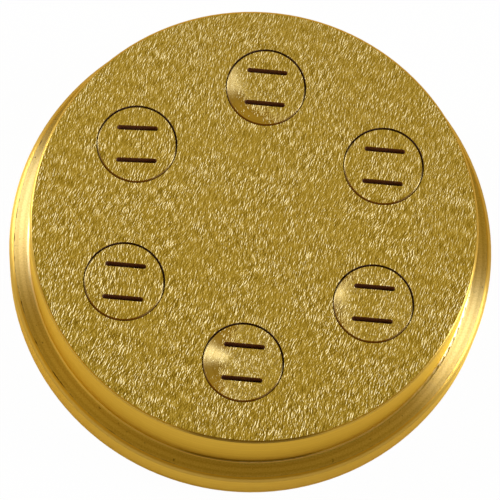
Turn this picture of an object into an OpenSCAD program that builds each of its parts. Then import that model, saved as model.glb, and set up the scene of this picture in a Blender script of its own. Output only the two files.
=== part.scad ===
// Flat-noodle extrusion die: a turned brass disc that carries six slotted inserts.
// Millimetres, +Z towards the outlet face, origin at the centre of the back face.

/* [Disc] */
// Diameter of the flange, which centres the die in the extruder head
flange_d = 60; // [59:0.5:70]
// Thickness of the flange, from the back face to the clamping ledge
flange_h = 6.4; // [5:0.1:8]
// Diameter of the boss that stands through the clamping ring
boss_d = 54.8; // [52:0.1:56]
// Height of the boss above the clamping ledge
boss_h = 9.8; // [8:0.1:13]
// Chamfer round the outlet face
face_chamfer = 0.3; // [0.1:0.05:1]
// Fillet that the turning tool leaves between the boss and the ledge
corner_r = 0.45; // [0.2:0.05:1]
// Width of the chamfer on the flange's front edge
rim_chamfer_w = 0.6; // [0.2:0.05:0.8]
// Height of that chamfer
rim_chamfer_h = 0.5; // [0.2:0.05:1.5]
// Chamfer on the flange's back edge
back_chamfer = 0.4; // [0.1:0.05:0.8]

/* [Inserts] */
// Number of inserts on the circle
insert_count = 6; // [3:1:7]
// Diameter of the circle on which the inserts sit
pitch_d = 35; // [33:0.1:36]
// Diameter of an insert's nose, which shows in the outlet face
nose_d = 9.7; // [9.2:0.1:10.5]
// Length of the nose, from its seat to the outlet face
nose_h = 5.4; // [4.5:0.1:7]
// Small chamfer on the nose's front edge
nose_chamfer = 0.16; // [0.05:0.01:0.3]
// Width of the collar that rests on the seat
collar_w = 1.2; // [0.8:0.1:1.6]
// Length of the collar, behind the seat
collar_h = 3; // [2:0.1:4]
// Wall round the insert's dough chamber
chamber_wall = 1.05; // [0.7:0.05:1.2]
// Chamfer at the mouth of the dough chamber
chamber_chamfer = 1.2; // [0.4:0.1:1.4]
// Number of the insert that sits turned in its bore
turned_insert = 3; // [1:1:3]
// How far that insert is turned, in degrees
turned_by = 3; // [0:0.5:5]

/* [Slots] */
// Length of a slot, which is the width of the noodle
slot_l = 5; // [3:0.1:5.2]
// Width of a slot, which is the thickness of the noodle
slot_w = 0.6; // [0.4:0.02:0.9]
// Distance between the two slots of an insert
slot_pitch = 4.14; // [2.4:0.01:4.4]
// Thickness of the insert's front wall, through which the slots are cut
outlet_wall = 3.4; // [2:0.1:4]
// Depth of the tapered lead-in behind each slot
lead_in_h = 1; // [0.4:0.1:1.4]
// How much the lead-in widens the slot on each side
lead_in_w = 0.5; // [0.2:0.05:0.7]

/* [Fits] */
// Radial gap between a nose and its bore, which shows as the seam
nose_gap = 0.12; // [0.03:0.01:0.2]
// Radial gap between a collar and its counterbore
collar_gap = 0.03; // [0.02:0.01:0.1]
// Chamfer at the mouth of each counterbore in the back face
inlet_chamfer = 0.8; // [0.2:0.1:1]

/* [Hidden] */
$fn = 128;

// How far a cutting solid runs past the surface that it opens
cut = 0.2;
// Direction of the first insert, so that one insert lies on the Y axis
first_angle = 30;

flange_r = flange_d / 2;
boss_r = boss_d / 2;
die_h = flange_h + boss_h;

nose_r = nose_d / 2;
collar_r = nose_r + collar_w;
chamber_r = nose_r - chamber_wall;

seat_z = die_h - nose_h;
insert_back_z = seat_z - collar_h;
chamber_floor_z = die_h - outlet_wall;

// Half section of the disc: flange, boss and the fillet between them
module disc_section() {
    polygon([
        [0, 0],
        [flange_r - back_chamfer, 0],
        [flange_r, back_chamfer],
        [flange_r, flange_h - rim_chamfer_h],
        [flange_r - rim_chamfer_w, flange_h],
        [0, flange_h]
    ]);
    polygon([
        [0, 0],
        [boss_r, 0],
        [boss_r, die_h - face_chamfer],
        [boss_r - face_chamfer, die_h],
        [0, die_h]
    ]);
    difference() {
        translate([boss_r - corner_r, flange_h - corner_r])
            square(2 * corner_r);
        translate([boss_r + corner_r, flange_h + corner_r])
            circle(corner_r);
    }
}

// Places a child at insert number i, with its slots along X
module at_insert(i) {
    angle = first_angle + (i - 1) * 360 / insert_count;
    translate([pitch_d / 2 * cos(angle), pitch_d / 2 * sin(angle), 0])
        rotate([0, 0, i == turned_insert ? turned_by : 0])
            children();
}

// Stepped bore for one insert: nose bore in front, counterbore and its mouth at the back
module insert_bore() {
    inlet_r = collar_r + collar_gap;
    translate([0, 0, seat_z - cut])
        cylinder(r = nose_r + nose_gap, h = nose_h + 2 * cut);
    translate([0, 0, -cut])
        cylinder(r = inlet_r, h = seat_z + cut);
    translate([0, 0, -cut])
        cylinder(r1 = inlet_r + inlet_chamfer + cut, r2 = inlet_r, h = inlet_chamfer + cut);
}

// Half section of an insert: a cup with its collar at the back and its floor in front
module insert_section() {
    polygon([
        [0, chamber_floor_z],
        [chamber_r, chamber_floor_z],
        [chamber_r, insert_back_z + chamber_chamfer],
        [chamber_r + chamber_chamfer, insert_back_z],
        [collar_r, insert_back_z],
        [collar_r, seat_z],
        [nose_r, seat_z],
        [nose_r, die_h - nose_chamfer],
        [nose_r - nose_chamfer, die_h],
        [0, die_h]
    ]);
}

// One slot with round ends, and the tapered lead-in behind its straight stretch
module slot() {
    straight = slot_l - slot_w;
    translate([0, 0, chamber_floor_z - cut])
        linear_extrude(outlet_wall + 2 * cut) {
            square([straight, slot_w], center = true);
            for (side = [-1, 1])
                translate([side * straight / 2, 0])
                    circle(d = slot_w, $fn = 32);
        }
    mouth = slot_w / 2 + lead_in_w;
    rotate([90, 0, 90])
        linear_extrude(straight, center = true)
            polygon([
                [-mouth, chamber_floor_z - cut],
                [mouth, chamber_floor_z - cut],
                [mouth, chamber_floor_z],
                [slot_w / 2, chamber_floor_z + lead_in_h],
                [-slot_w / 2, chamber_floor_z + lead_in_h],
                [-mouth, chamber_floor_z]
            ]);
}

module die_body() {
    color("#b8952f")
        difference() {
            rotate_extrude()
                disc_section();
            for (i = [1:insert_count])
                at_insert(i)
                    insert_bore();
        }
}

module insert(i) {
    color("#c2a03c")
        at_insert(i)
            difference() {
                rotate_extrude()
                    insert_section();
                for (side = [-1, 1])
                    translate([0, side * slot_pitch / 2, 0])
                        slot();
            }
}

die_body();
for (i = [1:insert_count])
    insert(i);
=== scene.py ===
"""A brass pasta die on a white table: sanded outlet face, turned sides, dark slots."""
import math
from types import SimpleNamespace

import bmesh
import bpy
from mathutils import Matrix, Vector


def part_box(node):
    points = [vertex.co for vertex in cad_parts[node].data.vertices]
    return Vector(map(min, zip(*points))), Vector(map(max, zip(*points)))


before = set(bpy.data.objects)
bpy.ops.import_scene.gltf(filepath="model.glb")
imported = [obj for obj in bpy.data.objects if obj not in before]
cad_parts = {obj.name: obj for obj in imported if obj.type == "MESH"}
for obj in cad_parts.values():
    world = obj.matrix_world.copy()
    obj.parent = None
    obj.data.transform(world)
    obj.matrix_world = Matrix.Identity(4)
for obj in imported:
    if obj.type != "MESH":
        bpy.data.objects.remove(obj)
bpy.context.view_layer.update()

MM = 0.001


def heading(degrees):
    """A level direction, turned by this angle from the X axis."""
    return math.cos(math.radians(degrees)), math.sin(math.radians(degrees)), 0


# Sizes read from the parts' boxes, in metres
FACE_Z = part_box("die_body")[1][2]
FLANGE_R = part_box("die_body")[1][0]
INSERTS = sorted(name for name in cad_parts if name.startswith("insert_"))

# Sizes of the part that its boxes don't give
BOSS_R = 27.4 * MM
LEDGE_Z = 6.4 * MM
FACE_CHAMFER = 0.3 * MM
RIM_CHAMFER_W = 0.6 * MM
RIM_CHAMFER_H = 0.5 * MM
NOSE_R = 4.85 * MM
NOSE_CHAMFER = 0.16 * MM
CHAMBER_R = 3.8 * MM

# Emery strokes, turned from the X axis, along which the slots lie. They reach no lower than this.
STROKE_ANGLE = math.radians(78)
SAND_DEPTH = 0.02 * MM
# Width and length of the short cuts, and of the longer strokes under them, and how deep they bite
SHORT_CUT = (0.13 * MM, 0.38 * MM)
LONG_STROKE = (0.18 * MM, 1.2 * MM)
CUT_DEPTH = 0.02 * MM
# The hand strayed to the side by about this much over this length, and pressed harder in patches
STRAY = 2.4 * MM
STRAY_LENGTH = 14 * MM
PRESSED_PATCH = 3.5 * MM
# From one end of the face to the other: cuts deeper towards the front, whose stronger tones there are partly
# painted glint, and cut tones lifted towards the rear as painted light
FACE_REACH = 27 * MM

# Inserts that lay a little too low: the emery reached only a circle on them, given by its middle and radius
# in nose radii. It touched the rest by a small share, and single strokes ran over the circle's edge.
BARE = {
    "insert_2": {"middle": (0.77, 0.77), "radius": 1.6, "touched": 0.1},
    "insert_5": {"middle": (3.5, -0.4), "radius": 3.95, "touched": 0.1},
    "insert_6": {"middle": (1.0, -0.1), "radius": 1.74, "touched": 0.3},
}
OVERRUN = 1.2 * MM

# Turning marks: the real feed is too fine to show, so its rings are drawn coarser
RING_WIDTH = 0.35 * MM
RING_DEPTH = 0.004 * MM

# Wear on the ledge: rubbed specks, pits, and knocks in a worn line along its edge
RUBBED_SPECK = 0.2 * MM
PIT = 0.5 * MM
KNOCK = 1.2 * MM
STRUCK_SIDE = heading(190)
# Half the width of the worn line, of the painted highlight line and of the painted shade line, and how far
# the last two lie off the boss
HALF_LINE = 0.1 * MM
PAINTED_HIGHLIGHT_GAP = 0.2 * MM
PAINTED_SHADE_GAP = 0.08 * MM
PAINTED_SHADE_SIDE = heading(-86)
# A point this near to the ledge's height is on the ledge, or in the corner at the boss's foot
LEDGE_SKIN = 0.1 * MM
CORNER_H = 0.4 * MM
# The rounded edges keep this far off the faces beside them
EDGE_MARGIN = 0.01 * MM

# Dried dough lies down to this depth; on one side of each seam it is painted darker, as painted shade in the
# seam
STAIN_DEPTH = 2.5 * MM
SHADED_SEAM_SIDE = heading(75)

# Sanded brass at the bottom of a cut, darkened there as painted shade, up its flank, and on the ridge beside
# it, paled there as a painted glint
CUT_BOTTOM_SHADE = "#6E520A"
CUT_FLANK = ((0.3, "#8E7019"), (0.5, "#9F8025"), (0.7, "#BA9B3B"))
CUT_RIDGE_GLINT = "#FFEEB4"
# Turned brass of the disc and of the inserts, in the rings' grooves and on their ridges
TURNED = ("#E2B83E", "#ECC44A")
TURNED_INSERT = ("#C8AC66", "#D6BC78")
# The ledge, rubbed paler by the clamping ring, the painted highlight line at the boss's foot, and the worn
# front edges
LEDGE = ("#C6AE6A", "#E6D292")
PAINTED_HIGHLIGHT = "#FFE0A0"
WORN_EDGE = "#E4BC58"
# Painted shade on one side of the boss, at its front edge and in the corner at its foot; also grime in knocks
# and pits
GRIME_AND_PAINTED_SHADE = "#4A3008"
# Dried dough, thin in the bores and slots, and a film on one side of each seam; the near-black on the other
# side is painted shade
DOUGH = "#A87A5C"
SEAM_PAINTED_SHADE = "#2C1806"
DOUGH_FILM = "#7C4C0C"
# Brass seen at a glancing angle
GLANCING = "#FFF0D0"
# The sheet of paper under the die
PAPER = "#F2F2F2"

# Roughness of sanded brass, of turned brass, and of the turned brass that the emery missed
SANDED_ROUGHNESS = 0.8
TURNED_ROUGHNESS = 0.34
BARE_ROUGHNESS = 0.3
# Dried dough hardly shines
DOUGH_SHINE = 0.15

# The photograph's camera: a long lens, nearly overhead, with the frame tilted
CAMERA_AZIMUTH = math.radians(-4.4)
CAMERA_ELEVATION = math.radians(73.88)
CAMERA_ROLL = math.radians(-9.35)
CAMERA_DISTANCE = 463.3 * MM
LENS_MM = 274.0
SENSOR_MM = 36.0
IMAGE_PX = 500
# Where the middle of the outlet face lies in the photograph
FACE_CENTRE_PX = (254.7, 223.5)

# Cool lamps in a warm room, together about white
LAMP_COLOUR = (1.0, 1.12, 1.45)
LAMP_DISTANCE = 0.9
ROOM_COLOUR = (1.0, 0.75, 0.17, 1.0)
ROOM_BRIGHT = 0.55
ROOM_DARK = 0.12
DARK_SIDE = heading(-76)
# How much paler the room is near the horizon
HORIZON_GLOW = 0.23

# The table's half width, and how far it lies under the die's back, so that the two don't flicker
TABLE_HALF = 1.5
TABLE_DROP = 0.02 * MM
# The paper's white begins this far in under the die's edge
WHITE_OVERLAP = 1 * MM
# How far out from the die the brass shows the paper's own shadow
SHADOW_REACH = 28 * MM
# How much of the paper is plain white, which leaves a trace of shadow
WHITE_SHARE = 0.98


def linear(hex_colour):
    """An sRGB hex colour as linear RGBA."""
    values = [int(hex_colour[i:i + 2], 16) / 255 for i in (1, 3, 5)]
    return [v / 12.92 if v <= 0.04045 else ((v + 0.055) / 1.055) ** 2.4 for v in values] + [1.0]


def add(tree, kind, inputs=(), **settings):
    """Adds a node with its settings, and sets or links each of its inputs."""
    made = tree.nodes.new(kind)
    for name, value in settings.items():
        setattr(made, name, value)
    for key, value in dict(inputs).items():
        if isinstance(value, bpy.types.NodeSocket):
            tree.links.new(value, made.inputs[key])
        else:
            made.inputs[key].default_value = value
    return made


def new_material(name):
    """An empty node material and its tree."""
    material = bpy.data.materials.new(name)
    material.use_nodes = True
    material.node_tree.nodes.clear()
    return material, material.node_tree


# Finishes

def place_on_piece(tree, centre):
    """Where a shaded point lies: its position, its height, and its way out from the piece's axis."""
    position = add(tree, "ShaderNodeTexCoord").outputs["Object"]
    height = add(tree, "ShaderNodeSeparateXYZ", {0: position}).outputs["Z"]
    local = add(tree, "ShaderNodeMapping", {"Vector": position, "Location": (-centre[0], -centre[1], 0)})
    flat = add(tree, "ShaderNodeVectorMath", {0: local.outputs[0], 1: (1, 1, 0)},
               operation="MULTIPLY").outputs[0]
    radius = add(tree, "ShaderNodeVectorMath", {0: flat}, operation="LENGTH").outputs["Value"]
    outward = add(tree, "ShaderNodeVectorMath", {0: flat}, operation="NORMALIZE").outputs[0]
    return SimpleNamespace(position=position, height=height, flat=flat, radius=radius, outward=outward)


def sanding(tree, position):
    """Relief of coarse emery: short cuts along one direction.
    It is 0 at the bottom of a cut and 1 on the ridge beside it."""
    stray = add(tree, "ShaderNodeTexNoise", {"Vector": position, "Scale": 1 / STRAY_LENGTH, "Detail": 1.0})
    centred = add(tree, "ShaderNodeVectorMath", {0: stray.outputs["Color"], 1: (0.5, 0.5, 0.5)},
                  operation="SUBTRACT")
    swept = add(tree, "ShaderNodeVectorMath", {0: centred.outputs[0], 1: (STRAY, STRAY, STRAY), 2: position},
                operation="MULTIPLY_ADD")
    along = {"Vector": swept.outputs[0], "Rotation": (0, 0, STROKE_ANGLE - math.pi / 2)}
    grit = {"Scale": 1.0, "Detail": 1.0, "Roughness": 0.6}
    # Short cuts, each a ridge beside its groove, later coloured with a painted glint on the ridge and painted
    # shade in the groove
    short = add(tree, "ShaderNodeMapping", {**along, "Scale": (*SHORT_CUT, 1.0)}, vector_type="TEXTURE")
    beside = add(tree, "ShaderNodeVectorMath", {0: short.outputs[0], 1: (0.8, 0, 0)}, operation="ADD")
    ridge = add(tree, "ShaderNodeTexNoise", {"Vector": short.outputs[0], **grit}, noise_dimensions="2D")
    groove = add(tree, "ShaderNodeTexNoise", {"Vector": beside.outputs[0], **grit}, noise_dimensions="2D")
    cuts = add(tree, "ShaderNodeMath", {0: ridge.outputs["Fac"], 1: groove.outputs["Fac"]},
               operation="SUBTRACT")
    # Longer strokes under them
    long = add(tree, "ShaderNodeMapping", {**along, "Scale": (*LONG_STROKE, 1.0)}, vector_type="TEXTURE")
    stroke = add(tree, "ShaderNodeTexNoise", {"Vector": long.outputs[0], **grit}, noise_dimensions="2D")
    swell = add(tree, "ShaderNodeMath", {0: stroke.outputs["Fac"], 1: 1.2, 2: -0.6},
                operation="MULTIPLY_ADD")
    blend = add(tree, "ShaderNodeMath", {0: cuts.outputs[0], 1: swell.outputs[0]}, operation="ADD")
    # Painted light lifts the cut tones towards the rear; the cuts are deeper towards the front, and their
    # stronger tones there are partly painted glint
    y = add(tree, "ShaderNodeSeparateXYZ", {0: position}).outputs["Y"]
    over_face = {"Value": y, "From Min": -FACE_REACH, "From Max": FACE_REACH}
    front_bite_and_glint = add(tree, "ShaderNodeMapRange", {**over_face, "To Min": 1.25, "To Max": 0.75})
    painted_rear_lift = add(tree, "ShaderNodeMapRange", {**over_face, "To Min": 0.45, "To Max": 0.6})
    # They are deeper also in patches, where the hand pressed harder
    patches = add(tree, "ShaderNodeTexNoise", {"Vector": position, "Scale": 1 / PRESSED_PATCH, "Detail": 1.0})
    pressed = add(tree, "ShaderNodeMapRange",
                  {"Value": patches.outputs["Fac"], "From Min": 0.3, "From Max": 0.7,
                   "To Min": 0.72, "To Max": 1.22})
    deepened = add(tree, "ShaderNodeMath", {0: front_bite_and_glint.outputs[0], 1: pressed.outputs[0]}, operation="MULTIPLY")
    return add(tree, "ShaderNodeMath", {0: blend.outputs[0], 1: deepened.outputs[0], 2: painted_rear_lift.outputs[0]},
               operation="MULTIPLY_ADD", use_clamp=True).outputs[0]


def emery_reach(tree, flat, relief, bare):
    """How much the emery touched an insert that lay too low.
    Strokes thin out towards the edge of the bare patch, so single ones reach into it."""
    middle = Vector((*bare["middle"], 0)) * NOSE_R
    off_middle = add(tree, "ShaderNodeVectorMath", {0: flat, 1: middle}, operation="DISTANCE")
    limit = bare["radius"] * NOSE_R
    past_limit = add(tree, "ShaderNodeMapRange",
                     {"Value": off_middle.outputs["Value"],
                      "From Min": limit - OVERRUN, "From Max": limit + OVERRUN})
    thinned = add(tree, "ShaderNodeMath", {0: relief, 1: past_limit.outputs[0]}, operation="SUBTRACT")
    return add(tree, "ShaderNodeMapRange",
               {"Value": thinned.outputs[0], "From Min": -0.2, "From Max": 0.2,
                "To Min": bare["touched"]}).outputs[0]


def dried_dough(tree, at, shade, stains):
    """Dried dough, which darkens the slots and the seams between noses and bores; on one side of each seam
    the darkening is painted shade.
    Gives the new shade, and how much of the surface is still bare metal."""
    reached = add(tree, "ShaderNodeMath", {0: at.height, 1: FACE_Z - STAIN_DEPTH},
                  operation="GREATER_THAN").outputs[0]
    towards = add(tree, "ShaderNodeVectorMath", {0: at.outward, 1: SHADED_SEAM_SIDE},
                  operation="DOT_PRODUCT").outputs["Value"]
    # The side of each seam that takes the painted shade
    painted_far_side = add(tree, "ShaderNodeMapRange", {"Value": towards, "From Min": -0.1, "From Max": 0.35})
    filmed = add(tree, "ShaderNodeMapRange", {"Value": towards, "From Min": -0.35, "From Max": -0.8})
    sides = {"painted_far_side": painted_far_side.outputs[0], "filmed": filmed.outputs[0]}
    metal = 1.0
    for top, inner, outer, side, tone in stains:
        ring = add(tree, "ShaderNodeMath", {0: at.radius, 1: (inner + outer) / 2, 2: (outer - inner) / 2},
                   operation="COMPARE")
        below = add(tree, "ShaderNodeMath", {0: at.height, 1: FACE_Z - top}, operation="LESS_THAN")
        band = add(tree, "ShaderNodeMath", {0: ring.outputs[0], 1: below.outputs[0]}, operation="MULTIPLY")
        dough = add(tree, "ShaderNodeMath", {0: band.outputs[0], 1: reached}, operation="MULTIPLY").outputs[0]
        if side:
            dough = add(tree, "ShaderNodeMath", {0: dough, 1: sides[side]}, operation="MULTIPLY").outputs[0]
        shade = add(tree, "ShaderNodeMix", {"Factor": dough, 6: shade, 7: linear(tone)},
                    data_type="RGBA").outputs[2]
        clean = add(tree, "ShaderNodeMath", {0: 1.0, 1: dough}, operation="SUBTRACT").outputs[0]
        metal = add(tree, "ShaderNodeMath", {0: metal, 1: clean}, operation="MULTIPLY").outputs[0]
    return shade, metal


def clamped_ledge(tree, at, shade, ridges, painted_shade_share):
    """The ledge as the clamping ring left it, with a painted highlight line all round the boss's foot and a
    painted shade line on one side of it.
    """
    # Rubbed paler, in rings and specks
    specks = add(tree, "ShaderNodeTexNoise",
                 {"Vector": at.position, "Scale": 1 / RUBBED_SPECK, "Detail": 1.0})
    speckled = add(tree, "ShaderNodeMapRange",
                   {"Value": specks.outputs["Fac"], "From Min": 0.3, "From Max": 0.7})
    both = add(tree, "ShaderNodeMath", {0: speckled.outputs[0], 1: ridges}, operation="ADD")
    rubbed = add(tree, "ShaderNodeMath", {0: both.outputs[0], 1: 0.5}, operation="MULTIPLY")
    pale = add(tree, "ShaderNodeMix", {"Factor": rubbed.outputs[0], 6: linear(LEDGE[0]), 7: linear(LEDGE[1])},
               data_type="RGBA")
    on_ledge = add(tree, "ShaderNodeMath", {0: at.height, 1: LEDGE_Z, 2: LEDGE_SKIN},
                   operation="COMPARE").outputs[0]
    shade = add(tree, "ShaderNodeMix", {"Factor": on_ledge, 6: shade, 7: pale.outputs[2]},
                data_type="RGBA").outputs[2]

    # A worn line along its edge with small knocks, more of them on one side, and a few pits
    edge_line = add(tree, "ShaderNodeMath", {0: at.radius, 1: FLANGE_R - RIM_CHAMFER_W, 2: HALF_LINE},
                    operation="COMPARE")
    knocks = add(tree, "ShaderNodeTexNoise", {"Vector": at.position, "Scale": 1 / KNOCK, "Detail": 3.0})
    knocked = add(tree, "ShaderNodeMapRange",
                  {"Value": knocks.outputs["Fac"], "From Min": 0.5, "From Max": 0.66,
                   "To Min": 0.2, "To Max": 0.95})
    towards = add(tree, "ShaderNodeVectorMath", {0: at.outward, 1: STRUCK_SIDE}, operation="DOT_PRODUCT")
    struck = add(tree, "ShaderNodeMapRange",
                 {"Value": towards.outputs["Value"], "From Min": 0.3, "From Max": 0.8, "To Min": 0.35})
    harder = add(tree, "ShaderNodeMath", {0: knocked.outputs[0], 1: struck.outputs[0]}, operation="MULTIPLY")
    worn = add(tree, "ShaderNodeMath", {0: edge_line.outputs[0], 1: harder.outputs[0]}, operation="MULTIPLY")
    dots = add(tree, "ShaderNodeTexNoise", {"Vector": at.position, "Scale": 1 / PIT, "Detail": 1.0})
    pits = add(tree, "ShaderNodeMapRange",
               {"Value": dots.outputs["Fac"], "From Min": 0.71, "From Max": 0.8, "To Max": 0.7})
    marked = add(tree, "ShaderNodeMath", {0: worn.outputs[0], 1: pits.outputs[0]}, operation="MAXIMUM")
    dents = add(tree, "ShaderNodeMath", {0: marked.outputs[0], 1: on_ledge}, operation="MULTIPLY")
    shade = add(tree, "ShaderNodeMix", {"Factor": dents.outputs[0], 6: shade, 7: linear(GRIME_AND_PAINTED_SHADE)},
                data_type="RGBA").outputs[2]

    # The corner at the boss's foot: a painted highlight line all round, and a painted shade line on one side
    corner = add(tree, "ShaderNodeMath", {0: at.height, 1: LEDGE_Z, 2: CORNER_H},
                 operation="COMPARE").outputs[0]
    for gap, strength, tone in ((PAINTED_HIGHLIGHT_GAP, 1.0, PAINTED_HIGHLIGHT), (PAINTED_SHADE_GAP, painted_shade_share, GRIME_AND_PAINTED_SHADE)):
        line = add(tree, "ShaderNodeMath", {0: at.radius, 1: BOSS_R + gap, 2: HALF_LINE}, operation="COMPARE")
        foot = add(tree, "ShaderNodeMath", {0: line.outputs[0], 1: corner}, operation="MULTIPLY")
        share = add(tree, "ShaderNodeMath", {0: foot.outputs[0], 1: strength}, operation="MULTIPLY")
        shade = add(tree, "ShaderNodeMix", {"Factor": share.outputs[0], 6: shade, 7: linear(tone)},
                    data_type="RGBA").outputs[2]
    return shade


def rounded_edges(tree, at, shade, normal, painted_shade_share):
    """The disc's front edges, rounded over from level at the top of their chamfers to upright at the foot.
    Both are worn paler, and the boss's edge has painted shade on one side. Gives the new shade and normal."""
    boss_wear_and_shade = add(tree, "ShaderNodeMix", {"Factor": painted_shade_share, 6: linear(WORN_EDGE), 7: linear(GRIME_AND_PAINTED_SHADE)},
                    data_type="RGBA").outputs[2]
    edges = ((FACE_Z, BOSS_R, FACE_CHAMFER, FACE_CHAMFER, boss_wear_and_shade),
             (LEDGE_Z, FLANGE_R, RIM_CHAMFER_W, RIM_CHAMFER_H, linear(WORN_EDGE)))
    for top, outer, width, drop, tone in edges:
        fall = add(tree, "ShaderNodeMapRange", {"Value": at.height, "From Min": top, "From Max": top - drop})
        lean = add(tree, "ShaderNodeMix", {"Factor": fall.outputs[0], 4: (0, 0, 1), 5: at.outward},
                   data_type="VECTOR")
        across = add(tree, "ShaderNodeMath", {0: at.radius, 1: outer - width / 2, 2: width / 2 - EDGE_MARGIN},
                     operation="COMPARE")
        down = add(tree, "ShaderNodeMath", {0: at.height, 1: top - drop / 2, 2: drop / 2 - EDGE_MARGIN},
                   operation="COMPARE")
        edge = add(tree, "ShaderNodeMath", {0: across.outputs[0], 1: down.outputs[0]},
                   operation="MULTIPLY").outputs[0]
        normal = add(tree, "ShaderNodeMix", {"Factor": edge, 4: normal, 5: lean.outputs[1]},
                     data_type="VECTOR").outputs[1]
        shade = add(tree, "ShaderNodeMix", {"Factor": edge, 6: shade, 7: tone}, data_type="RGBA").outputs[2]
    return shade, normal


def brass(name, turned, centre, stains, bare=None, clamped=False):
    """Brass turned on a lathe, its outlet face then sanded with coarse emery.
    It gives the eye short pale cuts over deep gold on the face, and wedges of light on the smooth sides."""
    material, tree = new_material(name)
    at = place_on_piece(tree, centre)

    # The emery reaches only the face, and on some inserts only a part of it
    relief = sanding(tree, at.position)
    sanded = add(tree, "ShaderNodeMath", {0: at.height, 1: FACE_Z - SAND_DEPTH},
                 operation="GREATER_THAN").outputs[0]
    if bare:
        touched = emery_reach(tree, at.flat, relief, bare)
        sanded = add(tree, "ShaderNodeMath", {0: sanded, 1: touched}, operation="MULTIPLY").outputs[0]

    # Turning marks are rings, which depend only on radius and height
    rings = add(tree, "ShaderNodeCombineXYZ", {0: at.radius, 1: at.height})
    marks = add(tree, "ShaderNodeTexNoise",
                {"Vector": rings.outputs[0], "Scale": 1 / RING_WIDTH, "Detail": 2.0},
                noise_dimensions="2D").outputs["Fac"]
    ridges = add(tree, "ShaderNodeMapRange", {"Value": marks, "From Min": 0.3, "From Max": 0.7}).outputs[0]

    # Colours, with the dough over them
    smooth = add(tree, "ShaderNodeMix", {"Factor": ridges, 6: linear(turned[0]), 7: linear(turned[1])},
                 data_type="RGBA").outputs[2]
    # The cut tones paint shade into the grooves and glints onto the ridges
    cut_tone_and_shading = add(tree, "ShaderNodeValToRGB", {0: relief})
    tones = cut_tone_and_shading.color_ramp.elements
    tones[0].color = linear(CUT_BOTTOM_SHADE)
    tones[1].color = linear(CUT_RIDGE_GLINT)
    for level, tone in CUT_FLANK:
        tones.new(level).color = linear(tone)
    clean_shade = add(tree, "ShaderNodeMix", {"Factor": sanded, 6: smooth, 7: cut_tone_and_shading.outputs[0]},
                      data_type="RGBA").outputs[2]
    shade, metal = dried_dough(tree, at, clean_shade, stains)

    # Relief
    cut_relief = add(tree, "ShaderNodeMath", {0: relief, 1: sanded}, operation="MULTIPLY")
    face_bump = add(tree, "ShaderNodeBump",
                    {"Height": cut_relief.outputs[0], "Strength": 1.0, "Distance": CUT_DEPTH})
    side_bump = add(tree, "ShaderNodeBump", {"Height": marks, "Strength": 0.2, "Distance": RING_DEPTH})
    normal = add(tree, "ShaderNodeMix", {"Factor": sanded, 4: side_bump.outputs[0], 5: face_bump.outputs[0]},
                 data_type="VECTOR").outputs[1]

    if clamped:
        # How much painted shade lies on one side of the boss, at its front edge and its foot
        towards = add(tree, "ShaderNodeVectorMath", {0: at.outward, 1: PAINTED_SHADE_SIDE}, operation="DOT_PRODUCT")
        painted_shade_share = add(tree, "ShaderNodeMapRange",
                    {"Value": towards.outputs["Value"], "From Min": 0.93, "From Max": 0.98, "To Max": 0.6},
                    interpolation_type="SMOOTHSTEP").outputs[0]
        shade = clamped_ledge(tree, at, shade, ridges, painted_shade_share)
        shade, normal = rounded_edges(tree, at, shade, normal, painted_shade_share)

    # Light is drawn out across the rings and across the strokes
    roughness = add(tree, "ShaderNodeMapRange",
                    {"Value": sanded, "From Min": bare["touched"] if bare else 0.0,
                     "To Min": BARE_ROUGHNESS if bare else TURNED_ROUGHNESS, "To Max": SANDED_ROUGHNESS})
    around = add(tree, "ShaderNodeVectorMath", {0: (0, 0, 1), 1: at.flat}, operation="CROSS_PRODUCT")
    ring_way = add(tree, "ShaderNodeVectorMath", {0: around.outputs[0]}, operation="NORMALIZE")
    stroke_way = (-math.cos(STROKE_ANGLE), -math.sin(STROKE_ANGLE), 0)
    stroked = add(tree, "ShaderNodeMath", {0: sanded, 1: 0.5}, operation="GREATER_THAN")
    tangent = add(tree, "ShaderNodeMix",
                  {"Factor": stroked.outputs[0], 4: ring_way.outputs[0], 5: stroke_way}, data_type="VECTOR")
    shader = add(tree, "ShaderNodeBsdfPrincipled",
                 {"Base Color": shade, "Metallic": metal, "Roughness": roughness.outputs[0],
                  "Anisotropic": 1.0, "Anisotropic Rotation": 0.25, "Specular Tint": linear(GLANCING),
                  "Specular IOR Level": DOUGH_SHINE, "Normal": normal, "Tangent": tangent.outputs[1]})
    add(tree, "ShaderNodeOutputMaterial", {"Surface": shader.outputs[0]})
    return material


def dress(node_name, material):
    """Gives a CAD node its material."""
    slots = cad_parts[node_name].data.materials
    slots.clear()
    slots.append(material)


def centre_of(node_name):
    """Middle of a node's box, in metres."""
    low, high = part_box(node_name)
    return [(a + b) / 2 for a, b in zip(low, high)]


# Stains of dough: how far under the face each begins, its inner and outer radius, the side of the piece on
# which it lies, where None is all round, and its colour
BORE_STAINS = [(SAND_DEPTH, 5 * MM, 26 * MM, None, DOUGH)]
INSERT_STAINS = [(SAND_DEPTH, 0, CHAMBER_R, None, DOUGH),
                 # On the painted far side, these two bands darken the seam as painted shade
                 (NOSE_CHAMFER, NOSE_R - 0.05 * MM, NOSE_R + 1.3 * MM, "painted_far_side", DOUGH),
                 (SAND_DEPTH, NOSE_R - 0.3 * MM, NOSE_R + 0.1 * MM, "painted_far_side", SEAM_PAINTED_SHADE),
                 (SAND_DEPTH, NOSE_R - 0.3 * MM, NOSE_R + 0.1 * MM, "filmed", DOUGH_FILM)]
dress("die_body", brass("turned brass disc, sanded face", TURNED, (0, 0, 0), BORE_STAINS, clamped=True))
for insert in INSERTS:
    dress(insert, brass(f"turned brass {insert}, sanded face", TURNED_INSERT, centre_of(insert),
                        INSERT_STAINS, BARE.get(insert)))


# Table and light

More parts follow.
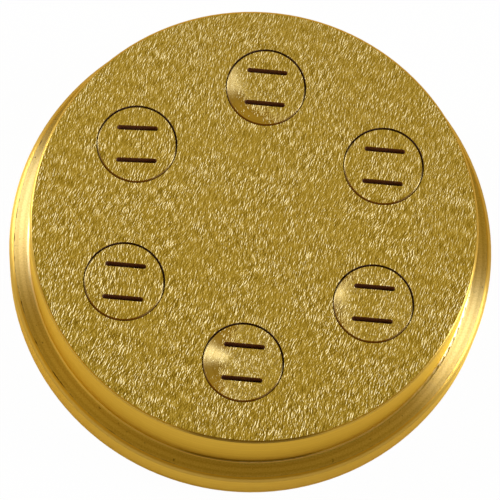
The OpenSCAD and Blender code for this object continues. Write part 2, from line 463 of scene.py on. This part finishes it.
def table_material():
    """Matt white paper that stays white to the camera and keeps the die's soft shadow.
    The brass shows the white further out, and the paper's own shadow round its foot."""
    material, tree = new_material("matt white paper")
    position = add(tree, "ShaderNodeTexCoord").outputs["Object"]
    radius = add(tree, "ShaderNodeVectorMath", {0: position}, operation="LENGTH").outputs["Value"]
    paper = add(tree, "ShaderNodeBsdfDiffuse", {"Color": linear(PAPER)})
    white = add(tree, "ShaderNodeEmission", {"Color": (1, 1, 1, 1), "Strength": 1.0})
    path = add(tree, "ShaderNodeLightPath")
    outside = add(tree, "ShaderNodeMath", {0: radius, 1: FLANGE_R - WHITE_OVERLAP},
                  operation="GREATER_THAN")
    seen = add(tree, "ShaderNodeMath", {0: path.outputs["Is Camera Ray"], 1: outside.outputs[0]},
               operation="MULTIPLY")
    away = add(tree, "ShaderNodeMapRange",
               {"Value": radius, "From Min": FLANGE_R, "From Max": FLANGE_R + SHADOW_REACH})
    mirrored = add(tree, "ShaderNodeMath", {0: path.outputs["Is Glossy Ray"], 1: away.outputs[0]},
                   operation="MULTIPLY")
    shown = add(tree, "ShaderNodeMath", {0: seen.outputs[0], 1: mirrored.outputs[0]}, operation="MAXIMUM")
    share = add(tree, "ShaderNodeMath", {0: shown.outputs[0], 1: WHITE_SHARE}, operation="MULTIPLY")
    mixed = add(tree, "ShaderNodeMixShader", {0: share.outputs[0], 1: paper.outputs[0], 2: white.outputs[0]})
    add(tree, "ShaderNodeOutputMaterial", {"Surface": mixed.outputs[0]})
    return material


def make_table():
    """A flat white sheet under the die."""
    shape = bmesh.new()
    bmesh.ops.create_grid(shape, x_segments=1, y_segments=1, size=TABLE_HALF,
                          matrix=Matrix.Translation((0, 0, -TABLE_DROP)))
    mesh = bpy.data.meshes.new("table")
    shape.to_mesh(mesh)
    shape.free()
    table = bpy.data.objects.new("table", mesh)
    bpy.context.collection.objects.link(table)
    mesh.materials.append(table_material())


def make_lamp(name, azimuth, elevation, size, power):
    """A soft lamp that faces the die."""
    lamp = bpy.data.lights.new(name, "AREA")
    lamp.shape = "RECTANGLE"
    lamp.size, lamp.size_y = size
    lamp.energy = power
    lamp.color = LAMP_COLOUR
    made = bpy.data.objects.new(name, lamp)
    bpy.context.collection.objects.link(made)
    x, y, _ = heading(azimuth)
    out = math.cos(math.radians(elevation))
    place = LAMP_DISTANCE * Vector((out * x, out * y, math.sin(math.radians(elevation))))
    made.matrix_world = Matrix.Translation(place) @ place.to_track_quat("Z", "Y").to_matrix().to_4x4()


def camera_turn():
    """The camera's right, up and back directions as a rotation."""
    back = Vector((math.sin(CAMERA_AZIMUTH) * math.cos(CAMERA_ELEVATION),
                   -math.cos(CAMERA_AZIMUTH) * math.cos(CAMERA_ELEVATION),
                   math.sin(CAMERA_ELEVATION)))
    right = Vector((math.cos(CAMERA_AZIMUTH), math.sin(CAMERA_AZIMUTH), 0))
    up = back.cross(right)
    return Matrix((right, up, back)).transposed() @ Matrix.Rotation(-CAMERA_ROLL, 3, "Z")


def make_camera():
    """The photograph's view, aimed so that the outlet face's middle falls on its pixel."""
    turn = camera_turn()
    focal_px = LENS_MM / SENSOR_MM * IMAGE_PX
    across = (FACE_CENTRE_PX[0] - IMAGE_PX / 2) / focal_px * CAMERA_DISTANCE
    upward = (IMAGE_PX / 2 - FACE_CENTRE_PX[1]) / focal_px * CAMERA_DISTANCE
    place = Vector((0, 0, FACE_Z)) - turn @ Vector((across, upward, -CAMERA_DISTANCE))
    camera = bpy.data.objects.new("camera", bpy.data.cameras.new("camera"))
    camera.data.lens = LENS_MM
    camera.data.sensor_width = SENSOR_MM
    camera.data.clip_start = 10 * MM
    camera.matrix_world = Matrix.Translation(place) @ turn.to_4x4()
    bpy.context.collection.objects.link(camera)
    bpy.context.scene.camera = camera


def make_world():
    """A warm room, darker on the side from which the photograph was taken and high up beside the die."""
    world = bpy.data.worlds.new("room")
    world.use_nodes = True
    tree = world.node_tree
    tree.nodes.clear()
    direction = add(tree, "ShaderNodeTexCoord").outputs["Generated"]
    towards = add(tree, "ShaderNodeVectorMath", {0: direction, 1: DARK_SIDE}, operation="DOT_PRODUCT")
    walls = add(tree, "ShaderNodeMapRange",
                {"Value": towards.outputs["Value"], "From Min": 0.1, "From Max": 0.65,
                 "To Min": ROOM_BRIGHT, "To Max": ROOM_DARK}, interpolation_type="SMOOTHSTEP")
    part = add(tree, "ShaderNodeSeparateXYZ", {0: direction})
    sideways = add(tree, "ShaderNodeMath", {0: part.outputs["X"]}, operation="ABSOLUTE")
    aside = add(tree, "ShaderNodeMapRange",
                {"Value": sideways.outputs[0], "From Min": 0.2, "From Max": 0.55, "To Max": 0.92})
    behind = add(tree, "ShaderNodeMapRange", {"Value": part.outputs["Y"], "From Min": -0.2, "From Max": 0.05})
    lost = add(tree, "ShaderNodeMath", {0: aside.outputs[0], 1: behind.outputs[0]}, operation="MULTIPLY")
    kept = add(tree, "ShaderNodeMath", {0: 1.0, 1: lost.outputs[0]}, operation="SUBTRACT")
    upper = add(tree, "ShaderNodeMath", {0: walls.outputs[0], 1: kept.outputs[0]}, operation="MULTIPLY")
    # Near the horizon the room is paler, also beside the die
    horizon = add(tree, "ShaderNodeMath", {0: walls.outputs[0], 1: HORIZON_GLOW}, operation="ADD")
    climb = add(tree, "ShaderNodeMapRange", {"Value": part.outputs["Z"], "From Min": 0.4, "From Max": 0.62},
                interpolation_type="SMOOTHSTEP")
    strength = add(tree, "ShaderNodeMix",
                   {"Factor": climb.outputs[0], 2: horizon.outputs[0], 3: upper.outputs[0]})
    light = add(tree, "ShaderNodeBackground", {"Color": ROOM_COLOUR, "Strength": strength.outputs[0]})
    add(tree, "ShaderNodeOutputWorld", {"Surface": light.outputs[0]})
    bpy.context.scene.world = world


make_table()
make_lamp("left lamp", azimuth=153.5, elevation=40, size=(0.30, 0.5), power=3.4)
make_lamp("right lamp", azimuth=2.5, elevation=40, size=(0.27, 0.5), power=3.3)
make_camera()
make_world()
bpy.context.scene.view_settings.view_transform = "Standard"
